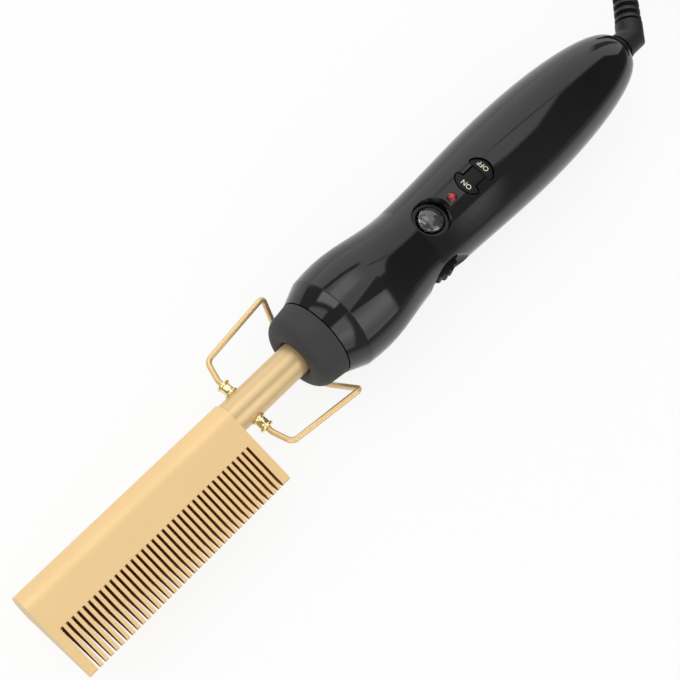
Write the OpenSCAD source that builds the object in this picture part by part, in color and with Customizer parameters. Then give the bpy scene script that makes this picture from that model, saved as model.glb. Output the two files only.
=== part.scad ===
// Electric hot comb with a folding wire stand, a moulded two-part handle and a swivel mains cord.
// Built about its own long axis: x runs from the collar face towards the cord, y is across
// (the teeth point to -y) and z is up (the controls are on top). at_rest() then sets it down.

/* [Comb head] */
// Length of the cast comb head
comb_len = 88.5; // [80:0.5:100]
// Radius of the rounded spine
spine_r = 6.6; // [6.2:0.1:8]
// Distance from the long axis to the tooth tips
comb_reach = 27.6; // [24:0.1:32]
// Radius of the rounded tooth tips
tip_r = 1.5; // [1:0.1:2]
// Number of slots between the teeth
slot_count = 37; // [20:1:38]
// Distance from one slot to the next
slot_pitch = 2.25; // [2:0.01:2.3]
// Width of a slot
slot_w = 1.0; // [0.8:0.05:1.2]
// Distance from the long axis to the root of the slots
slot_root = 11.0; // [10:0.1:14]
// Radius of the bore that holds the heater
heater_bore_r = 4.65; // [4.2:0.05:5]
// Depth of that bore
heater_bore_len = 80; // [70:1:85]

/* [Heater] */
// Length of the ceramic heater
heater_len = 71; // [60:1:71]
// Clearance between the heater and its bore
heater_gap = 0.15; // [0.1:0.05:0.3]
// Radius of an insulated heater lead
lead_r = 0.8; // [0.6:0.05:1]
// Distance of each lead from the long axis
lead_y = 2.0; // [1.8:0.1:2.4]
// Radius of the thermal fuse
fuse_r = 1.5; // [1.3:0.1:1.6]
// Length of the thermal fuse
fuse_len = 11; // [8:1:14]

/* [Neck] */
// Radius of the neck tube
tube_r = 6.0; // [5.8:0.1:6.4]
// Wall of the neck tube
tube_wall = 0.8; // [0.6:0.1:1]
// Distance from the comb to the origin of the long axis
neck_free = 30; // [28:0.5:34]
// Length of the reduced nose inside the comb
nose_len = 8; // [6:0.5:8.5]
// How far the tube reaches into the handle
tube_in = 41; // [38:0.5:42]

/* [Collar] */
// Position of the front rim of the heat-resistant collar
collar_x = 1.0; // [0:0.1:1.5]
// Length of the collar outside the handle
collar_len = 10.9; // [10:0.1:12]
// Radius where the front rim begins to curve
collar_face_r = 9.4; // [9:0.1:10]
// Depth of the dished front face
collar_dish = 2.2; // [1.6:0.1:2.6]
// Radius of the collar at its shoulder
collar_shoulder_r = 14.6; // [14.2:0.1:14.8]
// Radius of the collar beside the handle
collar_back_r = 15.3; // [15:0.1:15.4]
// Width of the dark joint between collar and handle
collar_seam = 0.4; // [0.3:0.05:0.6]

/* [Handle] */
// Wall of the two shells
wall = 2.0; // [1.8:0.1:2.2]
// Radius of the front band at the collar
band_front_r = 15.5; // [15.5:0.1:16]
// Position of the crease behind the front band
crease_x = 19.8; // [19.4:0.1:21]
// Radius at the crease
crease_r = 18.7; // [18.4:0.1:19]
// Position of the widest part of the bell
bell_x = 29; // [27:0.5:31]
// Radius of the bell
bell_r = 19.35; // [19.3:0.05:20]
// Position of the waist
waist_x = 60.5; // [60:0.5:62]
// Radius of the waist
waist_r = 16.0; // [15.8:0.1:16.4]
// Position of the palm swell
swell_x = 120; // [118:1:124]
// Radius of the palm swell
swell_r = 18.0; // [17.8:0.1:18.6]
// Position of the butt
butt_x = 181; // [179:0.5:183]
// Radius of the butt opening
butt_r = 6.5; // [6.4:0.1:6.8]

/* [Push button] */
// Position of the button
button_x = 67.8; // [67:0.1:69]
// Radius of the well in the handle
well_r = 6.7; // [6.4:0.1:6.9]
// How much wider the well is at its chamfered rim
well_flare = 0.9; // [0.4:0.1:1]
// Radius of the button cap
button_r = 4.6; // [4.2:0.1:4.7]
// Travel of the button
button_travel = 1.0; // [0.8:0.1:1.2]
// Clearance round the button
button_gap = 0.1; // [0.08:0.01:0.2]

/* [Indicator] */
// Position of the red indicator
lamp_x = 78.1; // [77.6:0.1:79]
// Radius of the indicator lens
lamp_r = 1.9; // [1.6:0.1:2]

/* [Rocker] */
// Position of the rocker
rocker_x = 90.2; // [89.6:0.1:91]
// Half the length of the rocker
rocker_half = 7.2; // [6.8:0.1:7.4]
// Radius of the outer curve of each pad
pad_r = 5.4; // [5.2:0.1:5.8]
// Distance from the middle to the straight side of each pad
pad_inner = 2.9; // [2.6:0.1:3.1]
// Radius of the rounded corners of each pad
pad_round = 0.9; // [0.6:0.1:1.1]
// Half the width of the bridge between the pads
bridge_half = 2.8; // [2.4:0.1:3]
// Depth of the bridge below the pads
bridge_drop = 0.5; // [0.3:0.1:0.8]
// Clearance round the rocker
rocker_gap = 0.5; // [0.45:0.05:0.6]
// Radius of the rocker axle
axle_r = 1.0; // [0.8:0.05:1.1]
// Clearance between the axle and its bore
axle_gap = 0.06; // [0.03:0.01:0.1]

/* [Temperature dial] */
// Position of the dial
dial_x = 63.7; // [63:0.1:64.4]
// Radius of the dial
dial_r = 9; // [8.6:0.1:9.4]
// Thickness of the dial
dial_t = 5; // [4.6:0.1:5]
// Number of grip notches
notch_count = 20; // [16:1:24]
// Radius of the thumb scoop round the dial
scoop_r = 12; // [11.8:0.1:12.2]
// Depth of the scoop at the parting line
scoop_depth = 5.4; // [5.2:0.1:5.6]
// Radius of the potentiometer shaft
shaft_r = 2.0; // [1.8:0.05:2]

/* [Circuit board] */
// Height of the underside of the board above the long axis
board_z = 4.2; // [4:0.1:4.4]
// Thickness of the board
board_t = 1.6; // [1.4:0.1:1.6]
// Half the width of the board
board_half = 9.2; // [8.8:0.1:9.3]
// Position of the front edge of the board
board_front = 46; // [45:0.5:47]
// Position of the rear edge of the board
board_rear = 143; // [142:0.5:144]

/* [Swivel] */
// Position of the elbow face behind the butt
elbow_face_x = 183.7; // [183.5:0.1:184.5]
// Position of the corner of the elbow
elbow_corner_x = 190; // [189.5:0.1:191]
// Radius of the elbow
elbow_r = 5.3; // [5:0.1:5.5]
// Length of the elbow past its corner
elbow_leg = 6.0; // [5.2:0.1:7]
// Angle of the cord to the long axis
elbow_angle = 45; // [40:0.5:50]
// Radius of the swivel neck
swivel_r = 4.6; // [4.2:0.1:4.7]
// Running clearance of the swivel neck
swivel_gap = 0.07; // [0.04:0.01:0.1]

/* [Strain relief] */
// Length of the strain relief
relief_len = 46; // [40:1:50]
// Radius over the first rib
relief_rib_r = 5.1; // [4.8:0.1:5.2]
// Radius over the last rib
relief_end_r = 4.0; // [3.8:0.1:4.4]
// Distance from one rib to the next
rib_pitch = 3.3; // [3:0.1:3.5]

/* [Stand] */
// Radius of the stand wire
wire_r = 1.05; // [0.9:0.05:1.1]
// Distance of the pivots in front of the collar
pivot_dx = 22.5; // [21.5:0.5:23]
// Half the width of the arms at the pivot end
arm_near_y = 19.6; // [19:0.1:21]
// Half the width of the arms at the foot end
arm_far_y = 22.9; // [22.5:0.1:24]
// Distance of the foot behind the collar face
foot_x = 9.8; // [9.4:0.1:10.5]
// Half the width of the foot bar
foot_half = 10.6; // [9:0.1:12]
// Drop of the foot bar below the long axis
foot_drop = 19.4; // [19.3:0.05:20]
// Bend radius of the wire at its middle
wire_bend = 3; // [2.5:0.1:3.2]
// Outer end of the pivot bushes
bush_end_y = 10.6; // [10:0.1:11]
// Flange radius of the pivot bushes
bush_r = 2.6; // [2.4:0.1:2.8]
// Running clearance of the wire in its bush
bush_gap = 0.07; // [0.04:0.01:0.1]

/* [Cord and plug] */
// Diameter of the mains cord
cord_d = 6.0; // [5:0.1:6]
// Inner radius of the put-away coil, to the middle of the cord
coil_inner = 26.3; // [25.5:0.1:27]
// Distance from one turn to the next
coil_pitch = 6.5; // [6.5:0.1:7]
// Turns in the coil, in two layers
coil_turns = 6.75; // [4.75:1:8.75]
// Thickness of the strap round the coil
tie_t = 0.6; // [0.4:0.1:1]
// Width of the strap round the coil
tie_w = 10; // [8:1:14]
// Width of the plug
plug_w = 35.3; // [33:0.1:36]
// Thickness of the plug
plug_h = 13.7; // [13:0.1:14]
// Length of the plug body
plug_len = 36; // [32:1:40]
// Radius of a plug pin
pin_r = 2.0; // [1.9:0.05:2.05]
// Length of a plug pin
pin_len = 19; // [18:0.1:19.5]
// Distance between the two pins
pin_space = 18.6; // [18:0.1:19]

/* [Hidden] */
$fn = 48;

slack = 0.15;                 // general clearance of a seated piece
eps = 0.01;                   // overshoot of a cutting tool
lap = 0.1;                    // how far a straight rod reaches into its bend
lap_step = 0.003;             // how much thinner it is there, so that the two surfaces never coincide
long = 60;                    // length of a tool that cuts right through
axis_h = foot_drop + wire_r;  // height of the long axis above the surface
pi = 3.14159265;

comb_back = -neck_free;
comb_front = comb_back - comb_len;
tip_y = comb_reach - tip_r;

// ---- swivel and strain relief line
elbow_dir = [cos(elbow_angle), sin(elbow_angle), 0];
elbow_corner = [elbow_corner_x, 0, 0];
relief_start = elbow_corner + elbow_leg * elbow_dir;
relief_end = relief_start + relief_len * elbow_dir;

// ---- the row origin: middle of the comb, handle and stand without the cord, on the surface
box_right = relief_end[0] + relief_end_r * sin(elbow_angle);
box_back = relief_end[1] + relief_end_r * cos(elbow_angle);
mid_x = (comb_front + box_right) / 2;
mid_y = (box_back - comb_reach) / 2;
module at_rest() translate([-mid_x, -mid_y, axis_h]) children();

// ---------------------------------------------------------------- general shapes
function unit(v) = v / norm(v);
function mix(a, b, s) = a + (b - a) * s;
function ease(s) = 0.5 - 0.5 * cos(180 * s);

module along_x(x0, x1, r) translate([x0, 0, 0]) rotate([0, 90, 0]) cylinder(r = r, h = x1 - x0);
module along_y(y0, y1, r) translate([0, y0, 0]) rotate([-90, 0, 0]) cylinder(r = r, h = y1 - y0);
module ring_x(x0, x1, r_out, r_in) difference() {
    along_x(x0, x1, r_out);
    along_x(x0 - 1, x1 + 1, r_in);
}
// A box given by its two corners
module block(low, high) translate(low) cube(high - low);
// A profile of [x, radius] points turned about the long axis
module turned(points) rotate([0, 90, 0]) rotate([0, 0, 90])
    rotate_extrude() polygon([for (p = points) [p[1], p[0]]]);

// A round rod through points, with a bend of its own radius at each corner
module rod(a, b, r) {
    d = b - a;
    translate(a) rotate([0, acos(d[2] / norm(d)), atan2(d[1], d[0])]) cylinder(r = r, h = norm(d));
}
function turn_at(a, b, c) = acos(unit(b - a) * unit(c - b));
function cut_back(a, b, c, bend) = bend * tan(turn_at(a, b, c) / 2);
module bend_at(a, b, c, r, bend) {
    d1 = unit(b - a);
    d2 = unit(c - b);
    side = unit(d2 - d1 * (d1 * d2));
    up = cross(d1, side);
    centre = b - d1 * cut_back(a, b, c, bend) + side * bend;
    multmatrix([[-side[0], d1[0], up[0], centre[0]],
                [-side[1], d1[1], up[1], centre[1]],
                [-side[2], d1[2], up[2], centre[2]],
                [0, 0, 0, 1]])
        rotate_extrude(angle = turn_at(a, b, c)) translate([bend, 0]) circle(r = r, $fn = 24);
}
module bent_rod(p, r, bends) {
    last = len(p) - 1;
    function start_cut(i) = i == 0 ? 0 : cut_back(p[i - 1], p[i], p[i + 1], bends[i]);
    for (i = [0 : last - 1]) {
        d = unit(p[i + 1] - p[i]);
        from_cut = i == 0 ? 0 : start_cut(i) - lap;
        to_cut = i == last - 1 ? 0 : start_cut(i + 1) - lap;
        rod(p[i] + d * from_cut, p[i + 1] - d * to_cut, r - lap_step);
    }
    for (i = [1 : last - 1]) bend_at(p[i - 1], p[i], p[i + 1], r, bends[i]);
}

// A tube of flat sides swept through points, as one closed mesh
function heading(p, i) = unit(p[min(i + 1, len(p) - 1)] - p[max(i - 1, 0)]);
function sweep_ring(p, i, r, sides) =
    let (t = heading(p, i), side = unit(cross(t, [0, 0, 1])), up = cross(side, t))
    [for (k = [0 : sides - 1]) p[i] + r * (cos(360 * k / sides) * side + sin(360 * k / sides) * up)];
module swept_tube(p, r, sides) {
    n = len(p);
    polyhedron(
        points = [for (i = [0 : n - 1]) each sweep_ring(p, i, r, sides)],
        faces = concat(
            [for (i = [0 : n - 2], k = [0 : sides - 1])
                let (a = i * sides + k, b = i * sides + (k + 1) % sides) [a, b, a + sides]],
            [for (i = [0 : n - 2], k = [0 : sides - 1])
                let (a = i * sides + k, b = i * sides + (k + 1) % sides) [b, b + sides, a + sides]],
            [for (k = [1 : sides - 2]) [0, k + 1, k]],
            [for (k = [1 : sides - 2], end = (n - 1) * sides) [end, end + k, end + k + 1]]));
}

// ---------------------------------------------------------------- comb, heater and neck
module comb_section() {
    lean = asin((spine_r - tip_r) / tip_y);
    circle(r = spine_r);
    translate([-tip_y, 0]) circle(r = tip_r);
    polygon([for (s = [1, -1], q = [[0, spine_r], [-tip_y, tip_r]])
        [q[0] - sin(lean) * q[1], s * cos(lean) * q[1]]] , paths = [[0, 1, 3, 2]]);
}

module comb_head() color([0.93, 0.78, 0.52]) difference() {
    translate([comb_front, 0, 0]) rotate([90, 0, 90]) linear_extrude(comb_len) comb_section();
    along_x(comb_back - heater_bore_len, comb_back + 1, heater_bore_r);
    first = (comb_front + comb_back) / 2 - slot_pitch * (slot_count - 1) / 2;
    for (i = [0 : slot_count - 1])
        translate([first + i * slot_pitch - slot_w / 2, -comb_reach - 1, -spine_r])
            cube([slot_w, comb_reach + 1 - slot_root, 2 * spine_r]);
}

heater_back = comb_back - nose_len - 0.3;
heater_r = heater_bore_r - heater_gap;
terminal_len = 1.2;
module heater_core() color([0.85, 0.85, 0.82]) {
    along_x(heater_back - heater_len, heater_back - terminal_len, heater_r);
    for (s = [1, -1]) translate([0, s * lead_y, 0])
        along_x(heater_back - terminal_len, heater_back, lead_r);
}

lead_end_x = 50;
lead_bend = 2;
module heater_leads() color([0.75, 0.12, 0.1]) for (s = [1, -1])
    bent_rod([[heater_back, s * lead_y, 0], [lead_end_x, s * lead_y, 0],
        [lead_end_x, s * lead_y, board_z]], lead_r, [0, lead_bend, 0]);

fuse_x = 4;
module thermal_fuse() color([0.8, 0.8, 0.82]) translate([0, lead_y, 0]) difference() {
    along_x(fuse_x, fuse_x + fuse_len, fuse_r);
    along_x(fuse_x - 1, fuse_x + fuse_len + 1, lead_r + 0.05);
}

tube_bore_r = tube_r - tube_wall;
nose_r = heater_bore_r - 0.05;
module neck_tube() color([0.9, 0.76, 0.5]) difference() {
    union() {
        along_x(comb_back, tube_in, tube_r);
        along_x(comb_back - nose_len, comb_back + eps, nose_r);
    }
    along_x(comb_back + tube_wall, tube_in + 1, tube_bore_r);
    along_x(comb_back - nose_len - 1, comb_back + tube_wall + eps, nose_r - tube_wall);
    translate([-pivot_dx, 0, 0]) along_y(-long, long, rivet_shank_r + 0.05);
    translate([clip_x, 0, 0]) ring_x(0, clip_t + 0.1, tube_r + 1, tube_r - clip_groove);
}

clip_t = 0.8;
clip_groove = 0.4;
clip_x = 37.6;
mount_front = 25;
mount_plate = 3;
mount_hub_r = 9;
module tube_mount() color([0.35, 0.2, 0.14]) difference() {
    union() {
        turned([[mount_front, 0], [mount_front, shell_in(mount_front + mount_plate) - slack],
            [mount_front + mount_plate, shell_in(mount_front + mount_plate) - slack],
            [mount_front + mount_plate, mount_hub_r], [clip_x - 0.1, mount_hub_r], [clip_x - 0.1, 0]]);
    }
    along_x(mount_front - 1, clip_x + 1, tube_r + 0.05);
}
module retaining_clip() color([0.6, 0.6, 0.62]) difference() {
    ring_x(clip_x, clip_x + clip_t, tube_r + 1.6, tube_r - clip_groove + 0.05);
    block([clip_x - 1, -2, 0], [clip_x + 2, 2, tube_r + 3]);
}

// ---------------------------------------------------------------- collar
collar_nose = 5.4;            // length over which the collar curves out to its shoulder
collar_spigot = 7;
collar_end = collar_x + collar_len;
collar_bore_r = tube_r + 0.1;
rim_r = collar_face_r - 0.5;
function collar_arc(n) = [for (i = [0 : n]) let (a = 90 * i / n)
    [collar_x + collar_nose * (1 - cos(a)), mix(collar_face_r, collar_shoulder_r, sin(a))]];
// The hollow front face, from the tube out to the rim
function collar_face(n) = [for (i = [0 : n]) let (a = 90 * i / n)
    [collar_x + collar_dish * (1 - sin(a)), mix(collar_bore_r, rim_r, 1 - cos(a))]];
module front_collar() color([0.27, 0.27, 0.28]) difference() {
    turned(concat([[collar_x + collar_dish, 0]], collar_face(4), collar_arc(8),
        [[collar_end, collar_back_r], [collar_end, band_front_r - wall - 1],
         [collar_end + collar_seam + 1, band_front_r - wall - slack],
         [collar_end + collar_spigot, band_front_r - wall - slack],
         [collar_end + collar_spigot, 0]]));
    along_x(-1, collar_end + collar_spigot + 1, collar_bore_r);
}

// ---------------------------------------------------------------- handle form
band_x = collar_end + collar_seam;
function handle_r(x) =
    x <= crease_x ? mix(band_front_r, crease_r, (x - band_x) / (crease_x - band_x))
    : x <= bell_x ? mix(crease_r, bell_r, sin(90 * (x - crease_x) / (bell_x - crease_x)))
    : x <= waist_x ? mix(bell_r, waist_r, ease((x - bell_x) / (waist_x - bell_x)))
    : x <= swell_x ? mix(waist_r, swell_r, ease((x - waist_x) / (swell_x - waist_x)))
    : mix(butt_r, swell_r, sqrt(max(0, 1 - pow((x - swell_x) / (butt_x - swell_x), 2))));
function shell_in(x) = handle_r(x) - wall;

// Stations along the handle: even steps, then closer and closer ones round the butt
stations = concat([band_x, (band_x + crease_x) / 2, crease_x, (crease_x + bell_x) / 2, bell_x],
    [for (i = [1 : 7]) mix(bell_x, waist_x, i / 7)],
    [for (i = [1 : 9]) mix(waist_x, swell_x, i / 9)],
    [for (i = [1 : 12]) mix(swell_x, butt_x, sin(90 * i / 12))]);
butt_wall_x = 177.6;
in_stations = [for (x = stations) if (x < butt_wall_x - 1) x];
module handle_form() turned(concat([[band_x, 0]], [for (x = stations) [x, handle_r(x)]], [[butt_x, 0]]));
module handle_hollow() turned(concat([[band_x - 1, 0], [band_x - 1, shell_in(band_x)]],
    [for (x = in_stations) [x, shell_in(x)]],
    [[butt_wall_x, shell_in(butt_wall_x)], [butt_wall_x, 0]]));

// ---------------------------------------------------------------- openings in the handle
// The rocker's outline as a tall prism: two pads with round ends, and the bridge between them
pad_mid = rocker_half - pad_r;
pad_corner = [pad_inner + pad_round, sqrt(pow(pad_r - pad_round, 2) - pow(pad_inner + pad_round - pad_mid, 2))];
pad_sweep = atan2(pad_corner[1], pad_corner[0] - pad_mid);
function pad_arc(grow) = [for (i = [-10 : 10])
    [pad_mid + (pad_r + grow) * cos(pad_sweep * i / 10), (pad_r + grow) * sin(pad_sweep * i / 10)]];
function corner_arc(grow) = [for (k = [1 : 4]) let (a = mix(pad_sweep, 180, k / 4))
    pad_corner + (pad_round + grow) * [cos(a), sin(a)]];
function flipped(points) = [for (i = [len(points) - 1 : -1 : 0]) [points[i][0], -points[i][1]]];
function turned_half(points) = [for (p = points) -p];
function rocker_side(grow) = concat(flipped(corner_arc(grow)), pad_arc(grow), corner_arc(grow),
    [[pad_inner - grow, bridge_half + grow], [-pad_inner + grow, bridge_half + grow]]);
module rocker_prism(low, grow) translate([0, 0, low]) linear_extrude(long)
    polygon(concat(rocker_side(grow), turned_half(rocker_side(grow))));
scoop_y = -(handle_r(dial_x) + scoop_r - scoop_depth);
scoop_wall = 1.2;
dial_y = -(handle_r(dial_x) + 0.4 - dial_r);
module scoop() translate([dial_x, scoop_y, 0]) sphere(r = scoop_r);
module dial_slot() translate([dial_x, dial_y, -dial_t / 2 - 0.3]) cylinder(r = dial_r + 0.4, h = dial_t + 0.6);
socket_hole_r = butt_r - 0.4;
well_rim_z = sqrt(pow(handle_r(button_x), 2) - pow(well_r, 2));

screw_x = [108, 151];
boss_r = 3.2;
screw_r = 1.4;
head_r = 2.7;
head_deep = 3.4;
head_t = 1.6;
drive_len = 3;                // cross recess in the screw heads
drive_w = 0.7;
drive_deep = 0.7;
screw_reach = 8.5;            // how far the screws reach above the parting line
post_x = [84, 138];
post_y = 5.5;
post_r = 2.4;
module upper_shell() color([0.09, 0.09, 0.1]) difference() {
    intersection() {
        handle_form();
        union() {
            difference() {
                translate([0, 0, long / 2]) cube([4 * butt_x, long, long], center = true);
                handle_hollow();
            }
            for (x = screw_x) translate([x, 0, 0]) cylinder(r = boss_r, h = long);
            intersection() {
                translate([dial_x, scoop_y, 0]) sphere(r = scoop_r + scoop_wall);
                block([0, -long, 0], [butt_x, 0, long]);
            }
        }
    }
    for (x = screw_x) translate([x, 0, -1]) cylinder(r = screw_r + 0.05, h = screw_reach + 1.5);
    translate([button_x, 0, 0]) {
        cylinder(r = well_r, h = long);
        translate([0, 0, well_rim_z - 0.6]) cylinder(r1 = well_r, r2 = well_r + well_flare * 2, h = 4);
    }
    translate([lamp_x, 0, 0]) cylinder(r = lamp_r + 0.05, h = long);
    translate([rocker_x, 0, 0]) rocker_prism(0, rocker_gap);
    scoop();
    dial_slot();
    along_x(butt_wall_x - 1, butt_x + 1, socket_hole_r);
}
module lower_shell() color([0.08, 0.08, 0.09]) difference() {
    intersection() {
        handle_form();
        union() {
            difference() {
                translate([0, 0, -long / 2]) cube([4 * butt_x, long, long], center = true);
                handle_hollow();
            }
            for (x = screw_x) translate([x, 0, -long]) cylinder(r = boss_r, h = long);
            for (x = post_x, s = [1, -1]) translate([x, s * post_y, -long])
                cylinder(r = post_r, h = long + board_z);
            intersection() {
                translate([dial_x, scoop_y, 0]) sphere(r = scoop_r + scoop_wall);
                block([0, -long, -long], [butt_x, 0, 0]);
            }
        }
    }
    for (x = screw_x) translate([x, 0, -long]) {
        cylinder(r = screw_r + 0.1, h = long + 1);
        cylinder(r = head_r + 0.15, h = long - handle_r(x) + head_deep);
    }
    scoop();
    dial_slot();
    along_x(butt_wall_x - 1, butt_x + 1, socket_hole_r);
}
module shell_screws() color([0.55, 0.55, 0.57]) for (x = screw_x) translate([x, 0, 0]) {
    head_top = -handle_r(x) + head_deep;
    difference() {
        translate([0, 0, head_top - head_t]) cylinder(r = head_r, h = head_t);
        for (a = [0, 90]) translate([0, 0, head_top - head_t]) rotate([0, 0, a])
            cube([drive_len, drive_w, 2 * drive_deep], center = true);
    }
    translate([0, 0, head_top]) cylinder(r = screw_r, h = -head_top + screw_reach);
}

// ---------------------------------------------------------------- electronics
board_top = board_z + board_t;
module circuit_board() color([0.1, 0.4, 0.2]) difference() {
    block([board_front, -board_half, board_z], [board_rear, board_half, board_top]);
    translate([screw_x[0], 0, 0]) cylinder(r = boss_r + 0.3, h = long);
}
relay_x = 122.5;
relay_size = [13, 12, 7.4];
filter_x = 100.7;
filter_size = [3.5, 10, 6.6];
chip_x = 53.5;
chip_size = [7, 10, 1.4];
resistor_x = 113.6;
resistor_size = [2, 4, 3];
capacitor_x = 135.5;
capacitor_r = 4;
capacitor_h = 8;
module on_board(x, size) translate([x - size[0] / 2, -size[1] / 2, board_top]) cube(size);
module board_components() color([0.8, 0.65, 0.2]) {
    on_board(relay_x, relay_size);
    on_board(filter_x, filter_size);
    on_board(chip_x, chip_size);
    on_board(resistor_x, resistor_size);
    translate([capacitor_x, 0, board_top]) cylinder(r = capacitor_r, h = capacitor_h);
}

bezel_drop = 2;               // depth of the bezel below the rim of the well
bezel_top = well_rim_z - bezel_drop;
bezel_bore = button_r + button_gap;
module button_bezel() color([0.12, 0.12, 0.13]) translate([button_x, 0, 0]) difference() {
    translate([0, 0, board_top]) cylinder(r = well_r - 0.1, h = bezel_top - board_top);
    translate([0, 0, board_top - 1]) cylinder(r = bezel_bore, h = long);
    translate([0, 0, bezel_top - 0.7]) cylinder(r1 = bezel_bore, r2 = bezel_bore + 0.7, h = 0.7 + eps);
}
switch_h = 3.5;
plunger_h = 0.8;
cap_low = board_top + switch_h + plunger_h + button_travel + 0.1;
cap_edge = bezel_top + 0.4;
cap_chamfer = 0.4;
cap_top_r = button_r - cap_chamfer;
dome_h = 1.1;
dome_r = (cap_top_r * cap_top_r + dome_h * dome_h) / (2 * dome_h);
module push_button() color([0.2, 0.2, 0.21]) translate([button_x, 0, 0]) {
    translate([0, 0, cap_low]) cylinder(r = button_r, h = cap_edge - cap_low);
    translate([0, 0, cap_edge - eps]) cylinder(r1 = button_r, r2 = cap_top_r, h = cap_chamfer + eps);
    intersection() {
        translate([0, 0, cap_edge + cap_chamfer + dome_h - dome_r]) sphere(r = dome_r);
        translate([0, 0, cap_edge + cap_chamfer - eps]) cylinder(r = cap_top_r, h = dome_h + 1);
    }
}
module button_switch() color([0.15, 0.15, 0.16]) translate([button_x, 0, board_top]) {
    block([-3, -3, 0], [3, 3, switch_h]);
    translate([0, 0, switch_h]) cylinder(r = 1.7, h = plunger_h);
}

lamp_top = handle_r(lamp_x);
flange_top = sqrt(pow(shell_in(lamp_x), 2) - pow(lamp_r + 0.8, 2)) - slack;
module indicator_lens() color([0.85, 0.08, 0.1]) translate([lamp_x, 0, 0]) {
    translate([0, 0, flange_top - 1]) cylinder(r = lamp_r + 0.8, h = 1);
    translate([0, 0, flange_top]) cylinder(r = lamp_r, h = lamp_top - flange_top);
    intersection() {
        translate([0, 0, lamp_top - 1.2]) sphere(r = sqrt(lamp_r * lamp_r + 1.44));
        translate([0, 0, lamp_top - eps]) cylinder(r = lamp_r, h = 2);
    }
}
led_top = flange_top - 1 - 0.2;
module indicator_led() color([0.9, 0.75, 0.75]) translate([lamp_x, 0, 0]) {
    translate([0, 0, led_top - 4]) cylinder(r = 1.5, h = 4);
    for (s = [1, -1]) translate([0, s * 0.9, board_top]) cylinder(r = 0.3, h = led_top - 4 - board_top + eps);
}

axle_z = 11.5;
rocker_low = axle_z + 1.1;
rocker_top_r = handle_r(rocker_x) - 0.3;
housing_top = axle_z - 1.5;
ear_in = bridge_half + 2.3;
ear_out = ear_in + 1.3;
module rocker() color([0.11, 0.11, 0.12]) translate([rocker_x, 0, 0]) {
    difference() {
        intersection() {
            rocker_prism(rocker_low, 0);
            along_x(-long / 2, long / 2, rocker_top_r);
        }
        difference() {
            block([-pad_inner - 0.05, -long, rocker_low - 1], [pad_inner + 0.05, long, long]);
            along_x(-long / 2, long / 2, rocker_top_r - bridge_drop);
        }
    }
    block([-1.6, -ear_in + 0.4, axle_z - 0.8], [1.6, ear_in - 0.4, rocker_low + eps]);
    translate([0, 0, axle_z]) along_y(-ear_out, ear_out, axle_r);
}
module rocker_housing() color([0.2, 0.2, 0.21]) translate([rocker_x, 0, 0]) difference() {
    union() {
        block([-6.3, -ear_out, board_top], [6.3, ear_out, housing_top]);
        for (s = [0, 1]) mirror([0, s, 0])
            block([-2.2, ear_in, housing_top - eps], [2.2, ear_out, axle_z + 1.9]);
    }
    translate([0, 0, axle_z]) along_y(-long, long, axle_r + axle_gap);
}

// ---------------------------------------------------------------- temperature dial
module dial_wheel() color([0.13, 0.13, 0.14]) translate([dial_x, dial_y, 0]) difference() {
    translate([0, 0, -dial_t / 2]) cylinder(r = dial_r, h = dial_t);
    translate([0, 0, -dial_t]) cylinder(r = shaft_r + 0.05, h = 2 * dial_t);
    for (i = [0 : notch_count - 1]) rotate([0, 0, 360 * i / notch_count])
        translate([dial_r + 0.3, 0, -dial_t]) cylinder(r = 0.9, h = 2 * dial_t, $fn = 16);
}
pot_half = 3.5;
pot_front = 2.1;              // reach of the potentiometer towards the scoop, past its shaft
pot_back = 5.5;
pot_tail = 0.8;               // end of the shaft below the dial
module dial_potentiometer() color([0.45, 0.45, 0.5]) translate([dial_x, dial_y, 0]) {
    block([-pot_half, -pot_front, dial_t / 2 + 0.3], [pot_half, pot_back, board_z]);
    translate([0, 0, -dial_t / 2 - pot_tail]) cylinder(r = shaft_r, h = dial_t + pot_tail + 0.4);
}

// ---------------------------------------------------------------- swivel
socket_front = 170.8;
socket_nose_x = elbow_face_x - 1.2;
module swivel_socket() color([0.16, 0.16, 0.17]) difference() {
    turned([[socket_front, 0], [socket_front, shell_in(socket_front) - slack - 0.1],
        [butt_wall_x - 3, shell_in(butt_wall_x - 3) - slack - 0.1],
        [butt_wall_x - 0.1, shell_in(butt_wall_x) - slack - 0.1],
        [butt_wall_x - 0.1, socket_hole_r - 0.1], [socket_nose_x, socket_hole_r - 0.1],
        [socket_nose_x, 0]]);
    along_x(socket_front - 1, socket_nose_x + 1, swivel_r + swivel_gap);
}
elbow_flange_t = 1.9;
elbow_back = socket_front - 0.3 - elbow_flange_t;
elbow_disc_r = elbow_r + 0.3;
// One half of the elbow, cut off along the mitre
module elbow_half(reach) intersection() {
    along_x(-reach, elbow_r * 2, elbow_r);
    rotate([0, 0, elbow_angle / 2]) block([-long, -long, -long], [eps, long, long]);
}
module swivel_elbow() color([0.14, 0.14, 0.15]) {
    along_x(elbow_back, elbow_back + elbow_flange_t, swivel_r + 2.2);
    along_x(elbow_back + elbow_flange_t - eps, elbow_face_x + eps, swivel_r);
    along_x(elbow_face_x, elbow_face_x + 1.2, elbow_disc_r);
    translate(elbow_corner) {
        elbow_half(elbow_corner_x - elbow_face_x - 1);
        rotate([0, 0, elbow_angle]) mirror([1, 0, 0]) elbow_half(elbow_leg);
    }
}
pin_contact_r = 1.5;
carrier_front = 158.5;
carrier_t = 3;
module contact_pin() color([0.85, 0.68, 0.3])
    along_x(carrier_front - 2, elbow_back, pin_contact_r);
module contact_carrier() color([0.3, 0.3, 0.32]) difference() {
    union() {
        along_x(carrier_front, carrier_front + carrier_t, shell_in(carrier_front + carrier_t) - slack);
        along_x(carrier_front, carrier_front + 2 * carrier_t, 4);
    }
    along_x(carrier_front - 1, elbow_back, pin_contact_r + 0.08);
}
mains_y = 5;
mains_r = 0.75;
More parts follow.
